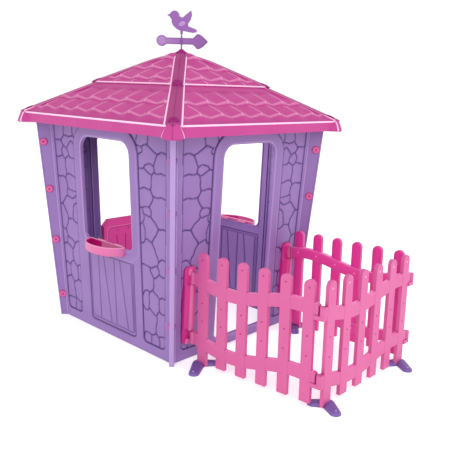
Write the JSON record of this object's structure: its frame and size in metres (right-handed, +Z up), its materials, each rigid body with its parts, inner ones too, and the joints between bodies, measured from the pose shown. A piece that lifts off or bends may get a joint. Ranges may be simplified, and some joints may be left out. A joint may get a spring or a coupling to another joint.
{
  "type": "playhouse",
  "caption": "Plastic garden playhouse with a pyramid roof, stone-pattern walls, windows with flower trays, a half door, a weather vane and a hinged picket fence yard.",
  "frame": {"origin": "on the ground at the middle of the footprint's bounding box, house and fence together", "axes": "+Z up, the open doorway and the fenced yard towards -Y, the half door towards +Y, windows towards -X and +X"},
  "size_m": [1.074, 1.7651, 1.548],
  "materials": {
    "wall_plastic": "satin, light purple",
    "roof_plastic": "satin, magenta pink",
    "fence_plastic": "satin, bright pink",
    "door_plastic": "satin, pink",
    "tray_plastic": "satin, light pink",
    "foot_plastic": "satin, purple",
    "vane_plastic": "satin, purple",
    "cap_plastic": "satin, dark magenta",
    "bolt_plastic": "satin, pink"
  },
  "bodies": {
    "house": {"front_wall": "wall_plastic", "rear_wall": "wall_plastic", "left_wall": "wall_plastic", "right_wall": "wall_plastic", "corner_bolts": "bolt_plastic", "corner_nuts": "wall_plastic", "roof_front": "roof_plastic", "roof_rear": "roof_plastic", "roof_left": "roof_plastic", "roof_right": "roof_plastic", "hip_plugs": "cap_plastic", "roof_cap": "cap_plastic", "left_flower_tray": "tray_plastic", "right_flower_tray": "tray_plastic", "door_hinge_pins": "bolt_plastic", "near_bracket": "fence_plastic", "far_bracket": "fence_plastic", "bracket_screws": "bolt_plastic"},
    "half_door": {"door_leaf": "door_plastic"},
    "vane": {"vane_rod": "vane_plastic", "vane_arrow": "vane_plastic", "vane_bird": "vane_plastic"},
    "near_fence": {"near_fence_panel": "fence_plastic", "near_foot": "foot_plastic"},
    "front_fence": {"front_fence_panel": "fence_plastic", "front_left_foot": "foot_plastic", "front_right_foot": "foot_plastic"},
    "far_fence": {"far_fence_panel": "fence_plastic", "far_foot": "foot_plastic"}
  },
  "joints": [
    {"name": "vane_spin", "type": "hinge", "parent": "house", "child": "vane", "pos_m": [0, 0.30247, 1.34], "axis": [0, 0, 1], "continuous": true},
    {"name": "door_swing", "type": "hinge", "parent": "house", "child": "half_door", "pos_m": [-0.196, 0.76167, 0.25], "axis": [0, 0, 1], "range_deg": [0, 100]},
    {"name": "near_fence_swing", "type": "hinge", "parent": "house", "child": "near_fence", "pos_m": [-0.325, -0.16353, 0.25], "axis": [0, 0, 1], "range_deg": [-18, 8]},
    {"name": "front_fence_fold", "type": "hinge", "parent": "near_fence", "child": "front_fence", "pos_m": [-0.26835, -0.81106, 0.25], "axis": [0, 0, 1], "range_deg": [-8, 18]},
    {"name": "far_fence_swing", "type": "hinge", "parent": "house", "child": "far_fence", "pos_m": [0.325, -0.16353, 0.25], "axis": [0, 0, 1], "range_deg": [-18, 8]}
  ],
  "couplings": [
    {"joint": "front_fence_fold", "follows": "near_fence_swing", "ratio": -1},
    {"joint": "far_fence_swing", "follows": "near_fence_swing", "ratio": 1}
  ]
}
